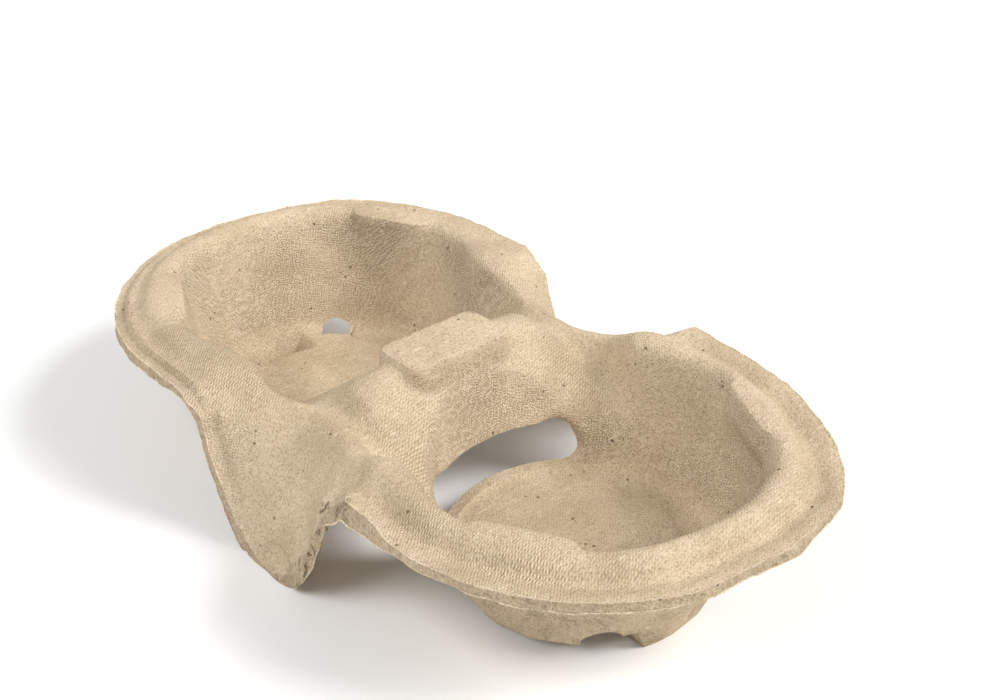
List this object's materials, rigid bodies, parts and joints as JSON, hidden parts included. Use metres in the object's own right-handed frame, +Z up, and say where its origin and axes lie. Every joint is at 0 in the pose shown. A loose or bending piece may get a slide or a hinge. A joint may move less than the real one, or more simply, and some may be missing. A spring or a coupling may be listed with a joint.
{
  "type": "cup carrier",
  "caption": "Moulded pulp cup carrier: a low tray with round tapered pockets, a rolled rim, a saddle bridge with a raised tab, scooped side feet and end legs.",
  "frame": {"origin": "bottom centre of the carrier, on the ground it stands on, midway between the pockets", "axes": "+X along the line through the pocket axes, +Y across towards a long side, +Z up out of the pockets"},
  "size_m": [0.2018, 0.1082, 0.0403],
  "materials": {
    "pulp": "matte moulded paper pulp, tan, with a screen weave and short fibres"
  },
  "bodies": {
    "root": {"cup_carrier": "pulp"}
  },
  "joints": []
}
